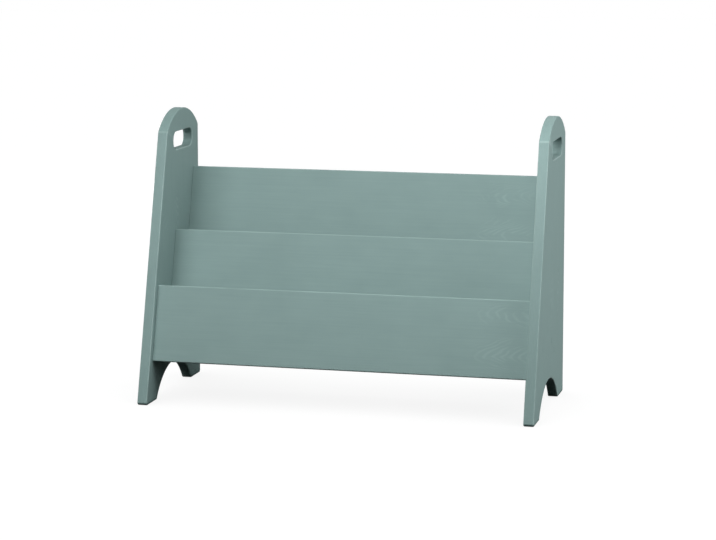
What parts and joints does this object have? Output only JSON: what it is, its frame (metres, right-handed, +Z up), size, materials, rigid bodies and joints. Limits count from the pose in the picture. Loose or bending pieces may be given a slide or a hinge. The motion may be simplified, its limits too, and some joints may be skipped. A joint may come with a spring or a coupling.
{
  "type": "book rack",
  "caption": "Low free-standing painted wooden book rack: shaped sides with hand holes and arched feet hold leaning panels and a shelf that form deep pockets.",
  "frame": {"origin": "on the floor, in the middle of the rack's width and depth", "axes": "+X to the right as seen from the front, +Y to the back, +Z up; the front looks along -Y"},
  "size_m": [0.7, 0.3, 0.502],
  "materials": {
    "painted_board": "board of fine-grained wood under a satin sage green paint",
    "painted_plug": "wooden plug, painted over with the side",
    "screw_steel": "bright zinc-plated steel",
    "dowel_beech": "bare beech"
  },
  "bodies": {
    "root": {"left_side": "painted_board", "right_side": "painted_board", "front_panel": "painted_board", "middle_panel": "painted_board", "back_panel": "painted_board", "bottom_shelf": "painted_board", "screw_front_panel_left_1": "screw_steel", "screw_front_panel_left_2": "screw_steel", "screw_front_panel_right_1": "screw_steel", "screw_front_panel_right_2": "screw_steel", "screw_middle_panel_left_1": "screw_steel", "screw_middle_panel_left_2": "screw_steel", "screw_middle_panel_right_1": "screw_steel", "screw_middle_panel_right_2": "screw_steel", "screw_back_panel_left_1": "screw_steel", "screw_back_panel_left_2": "screw_steel", "screw_back_panel_left_3": "screw_steel", "screw_back_panel_right_1": "screw_steel", "screw_back_panel_right_2": "screw_steel", "screw_back_panel_right_3": "screw_steel", "screw_bottom_shelf_left_1": "screw_steel", "screw_bottom_shelf_left_2": "screw_steel", "screw_bottom_shelf_right_1": "screw_steel", "screw_bottom_shelf_right_2": "screw_steel", "plug_front_panel_left_1": "painted_plug", "plug_front_panel_left_2": "painted_plug", "plug_front_panel_right_1": "painted_plug", "plug_front_panel_right_2": "painted_plug", "plug_middle_panel_left_1": "painted_plug", "plug_middle_panel_left_2": "painted_plug", "plug_middle_panel_right_1": "painted_plug", "plug_middle_panel_right_2": "painted_plug", "plug_back_panel_left_1": "painted_plug", "plug_back_panel_left_2": "painted_plug", "plug_back_panel_left_3": "painted_plug", "plug_back_panel_right_1": "painted_plug", "plug_back_panel_right_2": "painted_plug", "plug_back_panel_right_3": "painted_plug", "plug_bottom_shelf_left_1": "painted_plug", "plug_bottom_shelf_left_2": "painted_plug", "plug_bottom_shelf_right_1": "painted_plug", "plug_bottom_shelf_right_2": "painted_plug", "dowel_front_panel_left_1": "dowel_beech", "dowel_front_panel_right_1": "dowel_beech", "dowel_middle_panel_left_1": "dowel_beech", "dowel_middle_panel_right_1": "dowel_beech", "dowel_back_panel_left_1": "dowel_beech", "dowel_back_panel_left_2": "dowel_beech", "dowel_back_panel_right_1": "dowel_beech", "dowel_back_panel_right_2": "dowel_beech", "dowel_bottom_shelf_left_1": "dowel_beech", "dowel_bottom_shelf_right_1": "dowel_beech"}
  },
  "joints": []
}
